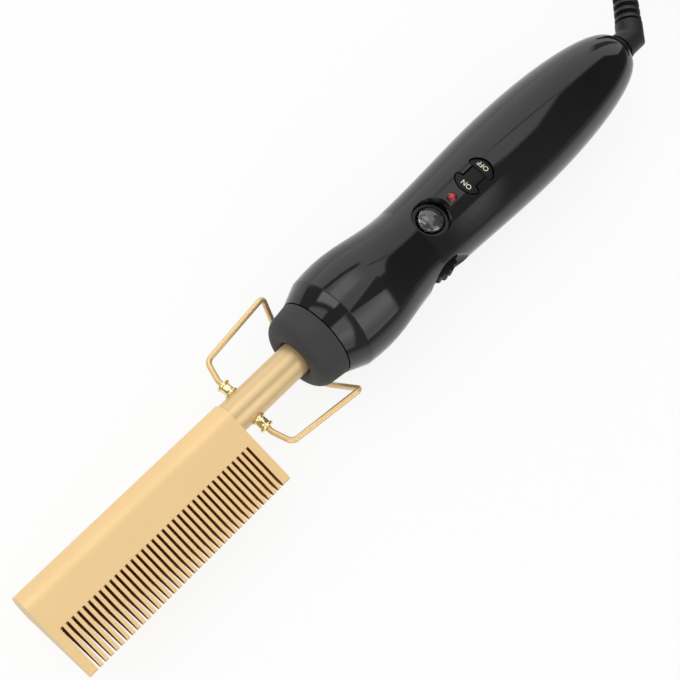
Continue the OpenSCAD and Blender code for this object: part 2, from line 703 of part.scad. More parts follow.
module mains_leads() color([0.2, 0.3, 0.7]) for (s = [1, -1])
    translate([0, s * mains_y, board_z + board_t / 2]) along_x(board_rear, carrier_front, mains_r);

rib_count = floor((relief_len - 1) / rib_pitch);
function rib_out(s) = mix(relief_rib_r, relief_end_r, s / relief_len);
module strain_relief() color([0.13, 0.13, 0.14]) translate(relief_start)
    rotate([0, 0, elbow_angle]) {
        turned([[0, 0], [0, 3.9], [relief_len, 3.2], [relief_len, 0]]);
        for (i = [0 : rib_count - 1]) {
            s = rib_pitch * (i + 0.35);
            along_x(s, s + 1.3, rib_out(s));
        }
        along_x(relief_len - 1.3, relief_len, relief_end_r);
        for (a = [45 : 90 : 315]) rotate([a, 0, 0])
            translate([0, -0.8, 0]) cube([relief_len - eps, 1.6, relief_end_r - 0.3]);
    }

// ---------------------------------------------------------------- folding stand
rivet_shank_r = 1.4;
bush_bore_end = 6.4;
bush_slant = 2.3;
module stand_bush() color([0.85, 0.66, 0.3]) translate([-pivot_dx, 0, 0]) difference() {
    union() {
        along_y(tube_bore_r - 0.5, 6, rivet_shank_r);
        intersection() {
            along_y(5, 6.9, bush_r);
            difference() {
                along_y(5, 6.9, bush_r);
                along_x(-long, long, tube_r + 0.03);
            }
        }
        along_y(6.8, bush_end_y - 0.9, bush_r - 0.8);
        along_y(bush_end_y - 1.4, bush_end_y, bush_r);
    }
    along_y(bush_bore_end, bush_end_y + 1, wire_r + bush_gap);
}
module stand_bush_left() stand_bush();
module stand_bush_right() mirror([0, 1, 0]) stand_bush();

stand_half = [[-pivot_dx, bush_bore_end + 0.2, 0], [-pivot_dx, bush_end_y + 1.8, 0],
    [-pivot_dx + bush_slant, arm_near_y, 0], [foot_x, arm_far_y, 0], [foot_x, foot_half, -foot_drop]];
stand_path = concat(stand_half, [for (i = [4 : -1 : 0])
    [stand_half[i][0], -stand_half[i][1], stand_half[i][2]]]);
module stand_wire() color([0.87, 0.7, 0.42])
    bent_rod(stand_path, wire_r, [0, 4, wire_bend, 1.8, wire_bend, wire_bend, 1.8, wire_bend, 4, 0]);

// ---------------------------------------------------------------- cord, coil and plug
cord_r = cord_d / 2;
floor_z = -axis_h;
coil_centre = [290, 14];
coil_low = floor_z + cord_r + tie_t + 0.1;
coil_outer = coil_inner + coil_pitch * coil_turns / 2;
coil_top_y = coil_centre[1] + coil_outer;
coil_high = coil_low + coil_pitch;

// Middle of the cord after so many turns: in, up a layer in the middle half turn, and out again
function coil_point(turn) =
    let (from_middle = turn - coil_turns / 2,
         r = coil_inner + coil_pitch * abs(from_middle),
         a = 90 - 360 * turn,
         lift = min(1, max(0, 0.5 + 2 * from_middle)))
    [coil_centre[0] + r * cos(a), coil_centre[1] + r * sin(a), mix(coil_low, coil_high, lift)];
coil_steps = 24;
coil_start = [coil_centre[0] - cord_d, coil_top_y, coil_low];
// The way that the cord has at its end of the coil, and the way in towards the middle
end_way = let (a = 90 - 360 * coil_turns) [sin(a), -cos(a), 0];
end_in = [end_way[1], -end_way[0], 0];
coil_end = coil_point(coil_turns) + cord_d * end_way;
// The least gap of the coil to itself, measured between points that are half a turn or more apart
coil_ring = [for (i = [0 : coil_turns * coil_steps]) coil_point(i / coil_steps)];
coil_gap = min([for (i = [0 : len(coil_ring) - 1], j = [i + coil_steps / 2 : len(coil_ring) - 1])
    norm(coil_ring[i] - coil_ring[j])]) - cord_d;
echo(least_gap_in_the_coil = coil_gap);
coil_path = concat([coil_start], coil_ring, [coil_end]);

// Points of the cord from the strain relief down to the surface and on to the coil
lead_path = concat([relief_end, relief_end + 6 * elbow_dir],
    [[240, 49.6, -2], [248, 55, -6], [257, 59.4, -11], [266, 61.8, -15], [275, 62.3, -16.6]],
    [coil_start - [2, 0, 0], coil_start]);
// From the coil the cord climbs over the turns in one wide bend, and the plug lies on top of them
tail_bend = 26;
tail_mid = coil_end + 2 * end_way + tail_bend * end_in;
tail_top = coil_high + coil_pitch + 0.2;
plug_axis_z = coil_high + cord_r + 0.1 + plug_h / 2;
function tail_height(a) = a < 80 ? mix(coil_high, tail_top, a / 80) : mix(tail_top, plug_axis_z, (a - 80) / 100);
function tail_point(a) = let (p = tail_mid + tail_bend * (sin(a) * end_way - cos(a) * end_in))
    [p[0], p[1], tail_height(a)];
plug_back = tail_point(180) - 4 * end_way;
tail_path = concat([coil_end], [for (a = [0 : 15 : 180]) tail_point(a)], [plug_back]);

module cord_lead() color([0.1, 0.1, 0.1]) swept_tube(lead_path, cord_r, 8);
module cord_coil() color([0.1, 0.1, 0.1]) swept_tube(coil_path, cord_r, 6);
module cord_tail() color([0.1, 0.1, 0.1]) swept_tube(tail_path, cord_r, 8);

// A closed strap round the coil, where it is furthest from the handle
tie_in = coil_inner - cord_r - 0.6;
tie_out = coil_outer + cord_r + 0.6;
tie_top = coil_high + cord_r + 0.1;
module coil_tie() color([0.16, 0.16, 0.17])
    translate([coil_centre[0], coil_centre[1], 0]) difference() {
        block([tie_in - tie_t, -tie_w / 2, floor_z], [tie_out + tie_t, tie_w / 2, tie_top + tie_t]);
        block([tie_in, -tie_w, floor_z + tie_t], [tie_out, tie_w, tie_top]);
    }

// Flat two-pin plug: a slab with round sides that tapers to the cord
plug_slab = 15;
plug_neck = 8;
module plug_outline(w, h) {
    for (s = [1, -1]) translate([0, s * (w - h) / 2]) circle(d = h);
    square([h, w - h], center = true);
}
module at_plug() translate(plug_back) rotate([0, 0, atan2(-end_way[1], -end_way[0])]) children();
module slab(x, t) translate([x, 0, 0]) rotate([0, 90, 0]) linear_extrude(t) plug_outline(plug_w, plug_h, $fn = 32);
module plug_body() color([0.1, 0.1, 0.11]) at_plug() {
    slab(plug_len - plug_slab, plug_slab);
    hull() {
        slab(plug_len - plug_slab, 0.1);
        translate([plug_neck, 0, 0]) rotate([0, 90, 0]) cylinder(r = cord_r + 2.2, h = 0.1, $fn = 32);
    }
    along_x(0, plug_neck + 0.1, cord_r + 1.4);
}
module plug_pins() color([0.8, 0.8, 0.82]) at_plug() for (s = [1, -1])
    translate([plug_len, s * pin_space / 2, 0]) {
        along_x(0, pin_len - pin_r, pin_r);
        translate([pin_len - pin_r, 0, 0]) sphere(r = pin_r);
    }

at_rest() comb_head();
at_rest() heater_core();
at_rest() thermal_fuse();
at_rest() heater_leads();
at_rest() neck_tube();
at_rest() tube_mount();
at_rest() retaining_clip();
at_rest() front_collar();
at_rest() upper_shell();
at_rest() lower_shell();
at_rest() shell_screws();
at_rest() circuit_board();
at_rest() board_components();
at_rest() push_button();
at_rest() button_bezel();
at_rest() button_switch();
at_rest() indicator_lens();
at_rest() indicator_led();
at_rest() rocker();
at_rest() rocker_housing();
at_rest() dial_wheel();
at_rest() dial_potentiometer();
at_rest() swivel_socket();
at_rest() swivel_elbow();
at_rest() contact_pin();
at_rest() contact_carrier();
at_rest() mains_leads();
at_rest() strain_relief();
at_rest() stand_wire();
at_rest() stand_bush_left();
at_rest() stand_bush_right();
at_rest() cord_lead();
at_rest() cord_coil();
at_rest() cord_tail();
at_rest() coil_tie();
at_rest() plug_body();
at_rest() plug_pins();
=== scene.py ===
"""Looks for an electric hot comb: finishes, cord, bushes, markings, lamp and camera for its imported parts."""

import math

import bmesh
import bpy
from bpy.props import FloatProperty, FloatVectorProperty, IntProperty, PointerProperty
from mathutils import Matrix, Vector


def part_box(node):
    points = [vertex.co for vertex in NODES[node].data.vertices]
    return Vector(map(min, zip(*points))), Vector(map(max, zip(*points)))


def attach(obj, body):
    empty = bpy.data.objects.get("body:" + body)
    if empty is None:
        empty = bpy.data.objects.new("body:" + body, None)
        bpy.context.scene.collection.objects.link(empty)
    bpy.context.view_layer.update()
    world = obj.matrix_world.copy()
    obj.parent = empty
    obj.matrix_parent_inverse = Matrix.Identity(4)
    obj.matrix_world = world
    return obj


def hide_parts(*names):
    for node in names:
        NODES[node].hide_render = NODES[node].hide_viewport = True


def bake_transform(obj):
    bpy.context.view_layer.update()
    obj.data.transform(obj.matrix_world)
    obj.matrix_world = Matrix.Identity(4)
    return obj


bl_info = {
    "name": "Hot Comb Looks",
    "version": (1, 0, 0),
    "blender": (4, 5, 0),
    "location": "3D View > Sidebar > Hot Comb",
    "description": "Finishes, cord, bushes, markings, lamp and camera for an electric hot comb",
    "category": "Object",
}

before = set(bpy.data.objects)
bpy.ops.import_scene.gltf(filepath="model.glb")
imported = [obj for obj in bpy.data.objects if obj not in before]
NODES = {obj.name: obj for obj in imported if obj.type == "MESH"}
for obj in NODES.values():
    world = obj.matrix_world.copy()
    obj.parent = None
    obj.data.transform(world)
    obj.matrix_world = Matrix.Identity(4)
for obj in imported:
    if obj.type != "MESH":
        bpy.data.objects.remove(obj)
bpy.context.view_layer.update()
MM = 0.001
ROOT = "body"

# Where the long axis of the handle lies in the row frame, and where its collar face is
AXIS = Vector((-55.549, -5.999, 20.45)) * MM


def at(x, y, z=0.0):
    """A point given in millimetres from the collar face, as the part's source has it."""
    return AXIS + Vector((x, y, z)) * MM


# ---------------------------------------------------------------- settings
class HotCombMetal(bpy.types.PropertyGroup):
    """The comb, its neck and the folding stand."""

    comb: FloatVectorProperty(
        name="Comb",
        description="Colour of the anodised comb",
        subtype="COLOR",
        size=3,
        default=(0.88, 0.62, 0.305),
    )
    tube: FloatVectorProperty(
        name="Neck",
        description="Colour of the neck tube",
        subtype="COLOR",
        size=3,
        default=(0.73, 0.53, 0.27),
    )
    # The colour of the painted shade on the tooth walls that look into the slots
    slot: FloatVectorProperty(
        name="Slots",
        description="Colour deep between the teeth",
        subtype="COLOR",
        size=3,
        default=(0.34, 0.13, 0.025),
    )
    wire: FloatVectorProperty(
        name="Stand",
        description="Colour of the stand wire",
        subtype="COLOR",
        size=3,
        default=(0.82, 0.59, 0.30),
    )
    brass: FloatVectorProperty(
        name="Bushes",
        description="Colour of the brass bushes",
        subtype="COLOR",
        size=3,
        default=(0.90, 0.76, 0.42),
    )


class HotCombPlastic(bpy.types.PropertyGroup):
    """The moulded handle and its controls."""

    shell: FloatVectorProperty(
        name="Shell",
        description="Colour of the handle shells",
        subtype="COLOR",
        size=3,
        default=(0.005, 0.005, 0.0055),
    )
    collar: FloatVectorProperty(
        name="Collar",
        description="Colour of the collar",
        subtype="COLOR",
        size=3,
        default=(0.038, 0.038, 0.039),
    )
    control: FloatVectorProperty(
        name="Controls",
        description="Colour of rocker and dial",
        subtype="COLOR",
        size=3,
        default=(0.014, 0.014, 0.015),
    )
    marking: FloatVectorProperty(
        name="Markings",
        description="Colour of the printed words",
        subtype="COLOR",
        size=3,
        default=(0.88, 0.81, 0.62),
    )
    # Colour of the red lens, shown at its brightest in the middle of its painted glow
    lens: FloatVectorProperty(
        name="Lamp",
        description="Colour of the indicator lens",
        subtype="COLOR",
        size=3,
        default=(0.75, 0.015, 0.025),
    )
    gloss: FloatProperty(
        name="Gloss",
        description="Roughness of the polished shells",
        subtype="FACTOR",
        min=0.02,
        max=0.6,
        default=0.05,
    )


class HotCombCord(bpy.types.PropertyGroup):
    """The mains cord."""

    length: FloatProperty(
        name="Length",
        description="Real length of the cord",
        subtype="DISTANCE",
        unit="LENGTH",
        default=1.75,
    )
    diameter: FloatProperty(
        name="Diameter",
        description="Outer diameter of the cord",
        subtype="DISTANCE",
        unit="LENGTH",
        default=0.006,
    )
    steps: IntProperty(
        name="Steps",
        description="Points in one turn of the coil",
        min=24,
        max=96,
        default=48,
    )


class HotCombStage(bpy.types.PropertyGroup):
    """Lamp, floor and camera."""

    lens: FloatProperty(
        name="Lens",
        description="Focal length on a 36 mm sensor",
        min=20,
        max=200,
        default=79.62,
    )
    world: FloatProperty(
        name="Tent light",
        description="Strength of the even light",
        min=0,
        max=3,
        default=0.86,
    )
    dark: FloatProperty(
        name="Dark side",
        description="Strength of the dark side in reflections",
        min=0,
        max=1,
        default=0.22,
    )
    key: FloatProperty(
        name="Main lamp",
        description="Power of the large lamp",
        unit="POWER",
        min=0,
        max=200,
        default=1.5,
    )
    floor: FloatProperty(
        name="Floor white",
        description="Share of plain white in the seen floor",
        min=0,
        max=1,
        default=0.86,
    )


def settings():
    """The four groups of settings, as the scene holds them."""
    s = bpy.context.scene
    return s.hot_comb_metal, s.hot_comb_plastic, s.hot_comb_cord, s.hot_comb_stage


# ---------------------------------------------------------------- shader node groups
def sockets(group, inputs, outputs):
    """Gives a node group its named inputs, as (name, type, default), and outputs, as (name, type)."""
    for name, kind, value in inputs:
        s = group.interface.new_socket(name=name, in_out="INPUT", socket_type=kind)
        s.default_value = value
    for name, kind in outputs:
        group.interface.new_socket(name=name, in_out="OUTPUT", socket_type=kind)
    return group.nodes.new("NodeGroupInput"), group.nodes.new("NodeGroupOutput")


def math_node(tree, what, a, b=None, clamp=False):
    """A Math node with its two values or links in place, and its result."""
    n = tree.nodes.new("ShaderNodeMath")
    n.operation = what
    n.use_clamp = clamp
    for socket, value in zip(n.inputs, (a, b)):
        if isinstance(value, (int, float)):
            socket.default_value = value
        elif value is not None:
            tree.links.new(value, socket)
    return n.outputs[0]


def vector_node(tree, what, a, b=None):
    """A Vector Math node with its two values or links in place."""
    n = tree.nodes.new("ShaderNodeVectorMath")
    n.operation = what
    for socket, value in zip(n.inputs, (a, b)):
        if isinstance(value, bpy.types.NodeSocket):
            tree.links.new(value, socket)
        elif value is not None:
            socket.default_value = value
    return n


def noise_node(tree, vector, scale, detail=3.0, rough=0.5):
    """A Noise Texture's factor, at a scale per metre."""
    n = tree.nodes.new("ShaderNodeTexNoise")
    tree.links.new(vector, n.inputs["Vector"])
    for key, value in (("Scale", scale), ("Detail", detail), ("Roughness", rough)):
        if isinstance(value, (int, float)):
            n.inputs[key].default_value = value
        else:
            tree.links.new(value, n.inputs[key])
    return n.outputs["Fac"]


def between(tree, value, low, high, out_low=0.0, out_high=1.0):
    """A Map Range from low..high to out_low..out_high, clamped."""
    n = tree.nodes.new("ShaderNodeMapRange")
    tree.links.new(value, n.inputs["Value"])
    for key, v in (("From Min", low), ("From Max", high), ("To Min", out_low), ("To Max", out_high)):
        if isinstance(v, (int, float)):
            n.inputs[key].default_value = v
        else:
            tree.links.new(v, n.inputs[key])
    return n.outputs["Result"]


def window(tree, value, low, high, soft):
    """1 where a value lies between low and high, with soft edges.

    Where low is a link, it is the middle of the window, and high is half its width.
    """
    if isinstance(low, bpy.types.NodeSocket):
        value, low = math_node(tree, "SUBTRACT", value, low), -high
    rise = between(tree, value, low - soft, low + soft)
    fall = between(tree, value, high - soft, high + soft, 1.0, 0.0)
    return math_node(tree, "MULTIPLY", rise, fall)


def laid(tree, under, mask, value):
    """A number with another laid over it by a mask."""
    n = tree.nodes.new("ShaderNodeMix")
    for socket, v in ((n.inputs["Factor"], mask), (n.inputs[2], under), (n.inputs[3], value)):
        if isinstance(v, (int, float)):
            socket.default_value = v
        else:
            tree.links.new(v, socket)
    return n.outputs[0]


def product(tree, *values):
    """Several masks times each other."""
    result = values[0]
    for v in values[1:]:
        result = math_node(tree, "MULTIPLY", result, v)
    return result


def group_grain():
    """Moulded or cast grain: a fine height, and a slow drift for colour."""
    g = bpy.data.node_groups.new("Grain", "ShaderNodeTree")
    i, o = sockets(
        g,
        [("Size per metre", "NodeSocketFloat", 4000.0), ("Drift per metre", "NodeSocketFloat", 60.0)],
        [("Height", "NodeSocketFloat"), ("Drift", "NodeSocketFloat")],
    )
    where = g.nodes.new("ShaderNodeTexCoord").outputs["Object"]
    g.links.new(noise_node(g, where, i.outputs["Size per metre"], 2.0), o.inputs["Height"])
    g.links.new(noise_node(g, where, i.outputs["Drift per metre"], 4.0, 0.6), o.inputs["Drift"])
    return g


# Scratches run along the object: how fine they are per metre along it and across it, and smears per metre
SCRATCHES = (40.0, 900.0, 900.0)
SMEARS = 45.0


def group_handling():
    """Handling marks: fine scratches and faint smears that change the roughness."""
    g = bpy.data.node_groups.new("Handling", "ShaderNodeTree")
    i, o = sockets(
        g,
        [
            ("Base roughness", "NodeSocketFloat", 0.2),
            ("Smear", "NodeSocketFloat", 0.1),
            ("Scratch", "NodeSocketFloat", 0.1),
        ],
        [("Roughness", "NodeSocketFloat")],
    )
    where = g.nodes.new("ShaderNodeTexCoord").outputs["Object"]
    stretch = g.nodes.new("ShaderNodeMapping")
    stretch.inputs["Scale"].default_value = SCRATCHES
    g.links.new(where, stretch.inputs["Vector"])
    lines = between(g, noise_node(g, stretch.outputs["Vector"], 1.0, 2.0), 0.62, 0.70)
    smear = between(g, noise_node(g, where, SMEARS, 5.0, 0.65), 0.35, 0.75)
    a = math_node(g, "MULTIPLY", smear, i.outputs["Smear"])
    b = math_node(g, "MULTIPLY", lines, i.outputs["Scratch"])
    marks = math_node(g, "ADD", a, b)
    g.links.new(math_node(g, "ADD", marks, i.outputs["Base roughness"], True), o.inputs["Roughness"])
    return g


def group_tint():
    """Shades a colour a little lighter and darker by a mask."""
    g = bpy.data.node_groups.new("Tint", "ShaderNodeTree")
    i, o = sockets(
        g,
        [
            ("Colour", "NodeSocketColor", (0.5, 0.5, 0.5, 1.0)),
            ("Mask", "NodeSocketFloat", 0.5),
            ("Amount", "NodeSocketFloat", 0.1),
        ],
        [("Colour", "NodeSocketColor")],
    )
    hsv = g.nodes.new("ShaderNodeHueSaturation")
    g.links.new(i.outputs["Colour"], hsv.inputs["Color"])
    swing = math_node(g, "MULTIPLY", math_node(g, "SUBTRACT", i.outputs["Mask"], 0.5), i.outputs["Amount"])
    g.links.new(math_node(g, "ADD", swing, 1.0), hsv.inputs["Value"])
    g.links.new(hsv.outputs["Color"], o.inputs["Colour"])
    return g


GROUPS = {}


def group(name):
    """The shared node group of that name, built once."""
    if name not in GROUPS:
        GROUPS[name] = {"Grain": group_grain, "Handling": group_handling, "Tint": group_tint}[name]()
    return GROUPS[name]


def place(tree, name, **values):
    """Puts a shared group in a material with its own values."""
    n = tree.nodes.new("ShaderNodeGroup")
    n.node_tree = group(name)
    for key, value in values.items():
        n.inputs[key.replace("_", " ")].default_value = value
    return n


# ---------------------------------------------------------------- materials
# How rough every clear coat is, and how deep the grain is at full strength, in metres
COAT_ROUGH = 0.05
GRAIN_DEPTH = 0.0002


def finish(
    name,
    colour,
    rough=0.4,
    metal=0.0,
    grain=4000.0,
    bump=0.02,
    drift=0.08,
    smear=0.08,
    scratch=0.04,
    coat=0.0,
    level=0.5,
):
    """A Principled material with grain, drift of colour and handling marks.

    Returns it with its shader, the node that tints its colour and the node that bumps it.
    """
    m = bpy.data.materials.new(name)
    m.use_nodes = True
    t = m.node_tree
    shader = t.nodes["Principled BSDF"]
    shader.inputs["Metallic"].default_value = metal
    shader.inputs["Specular IOR Level"].default_value = level
    shader.inputs["Coat Weight"].default_value = coat
    shader.inputs["Coat Roughness"].default_value = COAT_ROUGH
    g = place(t, "Grain", Size_per_metre=grain)
    h = place(t, "Handling", Base_roughness=rough, Smear=smear, Scratch=scratch)
    c = place(t, "Tint", Colour=(*colour, 1.0), Amount=drift)
    t.links.new(g.outputs["Drift"], c.inputs["Mask"])
    t.links.new(c.outputs["Colour"], shader.inputs["Base Color"])
    t.links.new(h.outputs["Roughness"], shader.inputs["Roughness"])
    b = t.nodes.new("ShaderNodeBump")
    b.inputs["Strength"].default_value = bump
    b.inputs["Distance"].default_value = GRAIN_DEPTH
    t.links.new(g.outputs["Height"], b.inputs["Height"])
    t.links.new(b.outputs["Normal"], shader.inputs["Normal"])
    return m, shader, c, b


def axis_value(tree, axis, offset=0.0):
    """One coordinate of the surface in the row frame, less an offset, in metres."""
    where = tree.nodes.new("ShaderNodeTexCoord").outputs["Object"]
    split = tree.nodes.new("ShaderNodeSeparateXYZ")
    tree.links.new(where, split.inputs["Vector"])
    return math_node(tree, "SUBTRACT", split.outputs[axis], offset)


def roughness_link(shader):
    """What feeds a shader's roughness."""
    return shader.inputs["Roughness"].links[0].from_socket


def mixed(tree, mask, first, second):
    """Mixes two colours, each a link or three numbers, by a mask."""
    n = tree.nodes.new("ShaderNodeMix")
    n.data_type = "RGBA"
    tree.links.new(mask, n.inputs["Factor"])
    for socket, value in ((n.inputs[6], first), (n.inputs[7], second)):
        if isinstance(value, bpy.types.NodeSocket):
            tree.links.new(value, socket)
        else:
            socket.default_value = (*value, 1.0)
    return n.outputs[2]


# How far in from the comb's ends the slots and their painted shade may begin, in metres
SLOTS_FROM = (0.0008, 0.0012)
# Where their roots lie across the comb, in millimetres, and how softly their painted shade ends there, in
# metres
SLOT_ROOTS, ROOT_SOFT = -11.0, 0.0004
# From which to which share of its normal along the comb a face counts as looking along it
LOOKS_ALONG = (0.6, 0.9)
# How metallic the comb is, the colour of its end faces, and how rough these and the slots are
COMB_METAL = 0.25
END_FACE = (0.74, 0.60, 0.39)
MATT = 0.95


def comb_material(colour, deep):
    """Satin anodised metal, with painted shade on the faces that look into the slots, pale and matt on the end
    faces.
    """
    m, shader, tint, _ = finish(
        "comb gold", colour, rough=0.40, metal=COMB_METAL, grain=5000.0, bump=0.03, drift=0.05, level=0.25
    )
    t = m.node_tree
    normal = t.nodes.new("ShaderNodeSeparateXYZ")
    t.links.new(t.nodes.new("ShaderNodeTexCoord").outputs["Normal"], normal.inputs["Vector"])
    across = between(t, math_node(t, "ABSOLUTE", normal.outputs["X"]), *LOOKS_ALONG)
    low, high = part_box("comb_head")
    near, far = SLOTS_FROM
    inside = product(
        t,
        between(t, axis_value(t, "X", low[0]), near, far),
        between(t, axis_value(t, "X", high[0]), -near, -far),
    )
    below_root = between(t, axis_value(t, "Y", at(0, SLOT_ROOTS).y), 0.0, ROOT_SOFT, 1.0, 0.0)
    # The tooth walls that look into the slots get painted shade, in place of the shadow between the teeth
    slot = product(t, across, inside, below_root)
    end = product(t, across, math_node(t, "SUBTRACT", 1.0, inside))
    pale = mixed(t, end, tint.outputs["Colour"], END_FACE)
    t.links.new(mixed(t, slot, pale, deep), shader.inputs["Base Color"])
    matt = math_node(t, "MAXIMUM", slot, end)
    t.links.new(laid(t, COMB_METAL, matt, 0.0), shader.inputs["Metallic"])
    t.links.new(laid(t, roughness_link(shader), matt, MATT), shader.inputs["Roughness"])
    return m


# Lean of the polished handle towards the comb, as (place on the axis in millimetres, degrees):
# the band is a little crowned and the bell full
BAND_LEAN = [(12.3, 29.0), (19.5, 17.0)]
BELL_LEAN = [
    (20.1, 8.0),
    (28.0, 4.5),
    (35.0, 0.5),
    (41.0, -6.0),
    (46.0, -9.0),
    (55.0, -9.5),
    (60.2, -8.0),
    (60.9, 0.5),
]
# Where the handle is narrowest, where it is thickest and where it ends, as (place, radius) in millimetres,
# and how many parts the curve between the first two gets
WAIST, SWELL, BUTT = (60.5, 16.0), (120.0, 18.0), (181.0, 6.5)
WAIST_PARTS = 12
# Steps of the elliptic butt, in degrees round its ellipse
BUTT_STEP, BUTT_STEPS = 5, 17
# Between which likenesses to the mesh's own normal the true one takes over, as cosines
SKIN_MATCH = (0.92, 0.94)


def handle_lean():
    """The lean of the handle's outline at places along it, as (millimetres, radians)."""
    lean = [(x, math.radians(a)) for x, a in BAND_LEAN + BELL_LEAN]
    run, rise = SWELL[0] - WAIST[0], SWELL[1] - WAIST[1]
    for k in range(1, WAIST_PARTS):
        slope = math.pi / 2 * rise / run * math.sin(math.pi * k / WAIST_PARTS)
        lean.append((WAIST[0] + run * k / WAIST_PARTS, math.atan(slope)))
    lean.append((SWELL[0], 0.0))
    run, fall = BUTT[0] - SWELL[0], SWELL[1] - BUTT[1]
    for k in range(1, BUTT_STEPS + 1):
        a = math.radians(BUTT_STEP * k)
        lean.append((SWELL[0] + run * math.sin(a), -math.atan(fall / run * math.tan(a))))
    return lean


def lean_curve(tree, along):
    """The handle's lean in radians, by how far behind the start of its band a point is, in metres."""
    lean = handle_lean()
    first, run = lean[0][0], lean[-1][0] - lean[0][0]
    spots = [((x - first) / run, 0.5 + a / math.pi) for x, a in lean]
    curve = tree.nodes.new("ShaderNodeFloatCurve")
    line = curve.mapping.curves[0]
    line.points[0].location, line.points[1].location = spots[0], spots[-1]
    for spot in spots[1:-1]:
        line.points.new(*spot)
    for point in line.points:
        point.handle_type = "VECTOR"
    curve.mapping.use_clip = False
    curve.mapping.update()
    tree.links.new(math_node(tree, "DIVIDE", along, run * MM), curve.inputs["Value"])
    return math_node(tree, "MULTIPLY", math_node(tree, "SUBTRACT", curve.outputs["Value"], 0.5), math.pi)


def turned_normal(tree):
    """The handle's true normal on its outer skin, and the mesh's own in the recesses.

    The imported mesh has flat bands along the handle, which its polish would show.
    """
    tilt = lean_curve(tree, axis_value(tree, "X", at(BAND_LEAN[0][0], 0).x))
    turn = math_node(tree, "ARCTAN2", axis_value(tree, "Y", AXIS.y), axis_value(tree, "Z", AXIS.z))
    out = math_node(tree, "COSINE", tilt)
    join = tree.nodes.new("ShaderNodeCombineXYZ")
    tree.links.new(math_node(tree, "MULTIPLY", math_node(tree, "SINE", tilt), -1.0), join.inputs["X"])
    tree.links.new(math_node(tree, "MULTIPLY", out, math_node(tree, "SINE", turn)), join.inputs["Y"])
    tree.links.new(math_node(tree, "MULTIPLY", out, math_node(tree, "COSINE", turn)), join.inputs["Z"])
    true = join.outputs["Vector"]
    own = tree.nodes.new("ShaderNodeNewGeometry").outputs["Normal"]
    likeness = vector_node(tree, "DOT_PRODUCT", true, own).outputs["Value"]
    blend = tree.nodes.new("ShaderNodeMix")
    blend.data_type = "VECTOR"
    tree.links.new(between(tree, likeness, *SKIN_MATCH), blend.inputs["Factor"])
    tree.links.new(own, blend.inputs[4])
    tree.links.new(true, blend.inputs[5])
    return blend.outputs[1]


# From where to where the line between the halves fades, in metres from the parting plane, and its colour
HALF_SEAM = (0.00010, 0.00022)
SEAM_BLACK = (0.002, 0.002, 0.002)


def shell_material(colour, gloss):
    """Polished black moulding with a hair line where its two halves meet."""
    m, shader, tint, bump = finish(
        "shell black", colour, rough=gloss, grain=900.0, bump=0.004, drift=0.2, smear=0.03, scratch=0.02
    )
    t = m.node_tree
    seam = between(t, math_node(t, "ABSOLUTE", axis_value(t, "Z", AXIS.z)), *HALF_SEAM, 1.0, 0.0)
    t.links.new(mixed(t, seam, tint.outputs["Colour"], SEAM_BLACK), shader.inputs["Base Color"])
    height = bump.inputs["Height"].links[0].from_socket
    t.links.new(math_node(t, "SUBTRACT", height, seam), bump.inputs["Height"])
    t.links.new(turned_normal(t), bump.inputs["Normal"])
    return m


def paint(material, *nodes):
    """Gives CAD nodes a material in place of their own."""
    for name in nodes:
        data = NODES[name].data
        data.materials.clear()
        data.materials.append(material)


def put(name, data):
    """Puts new data in the scene as an object of that name."""
    o = bpy.data.objects.new(name, data)
    bpy.context.collection.objects.link(o)
    return o


def as_mesh(data):
    """The mesh that curve or text data make."""
    source = put("source", data)
    bpy.context.view_layer.update()
    mesh = bpy.data.meshes.new_from_object(source)
    bpy.data.objects.remove(source)
    return mesh


# ---------------------------------------------------------------- operators
class Piece(bpy.types.Operator):
    """Common part of the operators that make or finish a piece."""

    bl_options = {"REGISTER", "UNDO"}

    def execute(self, context):
        self.make()
        return {"FINISHED"}


def catmull(points, steps):
    """A smooth line through points, with steps parts between each pair."""
    p = [2 * points[0] - points[1], *points, 2 * points[-1] - points[-2]]
    line = []
    for a, b, c, d in zip(p, p[1:], p[2:], p[3:]):
        for k in range(steps):
            s = k / steps
            square = 2 * a - 5 * b + 4 * c - d
            cube = 3 * b - a - 3 * c + d
            line.append(0.5 * (2 * b + (c - a) * s + square * s * s + cube * s**3))
    return [*line, points[-1]]


# The cord's route, in millimetres from the collar face, as the part's source has it: where it leaves the
# strain relief and which way, the points where it comes down, its coil on the surface, and its tail over it
CORD_EXIT = Vector((226.770, 36.770, 0.0))
CORD_WAY = Vector((0.70711, 0.70711, 0.0))
CORD_STRAIGHT = 6.0
CORD_DROP = [(240, 49.6, -2), (248, 55, -6), (257, 59.4, -11), (266, 61.8, -15), (275, 62.3, -16.6)]
COIL_MID = Vector((290.0, 14.0, 0.0))
COIL_INNER, COIL_PITCH, COIL_TURNS, COIL_LOW = 26.3, 6.5, 6.75, -16.75
COIL_LEAD_IN = 2.0
TAIL_BEND, TAIL_STEP, TAIL_CREST, TAIL_CLEAR = 26.0, 6, 80, 0.2
TAIL_STRAIGHT = (2.0, 4.0)
PLUG_Z = -0.3


def coil_point(turn):
    """The middle of the cord after so many turns of the coil."""
    side = turn - COIL_TURNS / 2
    r = COIL_INNER + COIL_PITCH * abs(side)
    a = math.radians(90 - 360 * turn)
    lift = min(1.0, max(0.0, 0.5 + 2 * side))
    return COIL_MID + Vector((r * math.cos(a), r * math.sin(a), COIL_LOW + COIL_PITCH * lift))


def tail_height(turned, low, crest):
    """Height of the cord's tail after so many degrees: over the turns first, then up to the plug."""
    if turned < TAIL_CREST:
        return low + (crest - low) * turned / TAIL_CREST
    return crest + (PLUG_Z - crest) * (turned - TAIL_CREST) / (180 - TAIL_CREST)


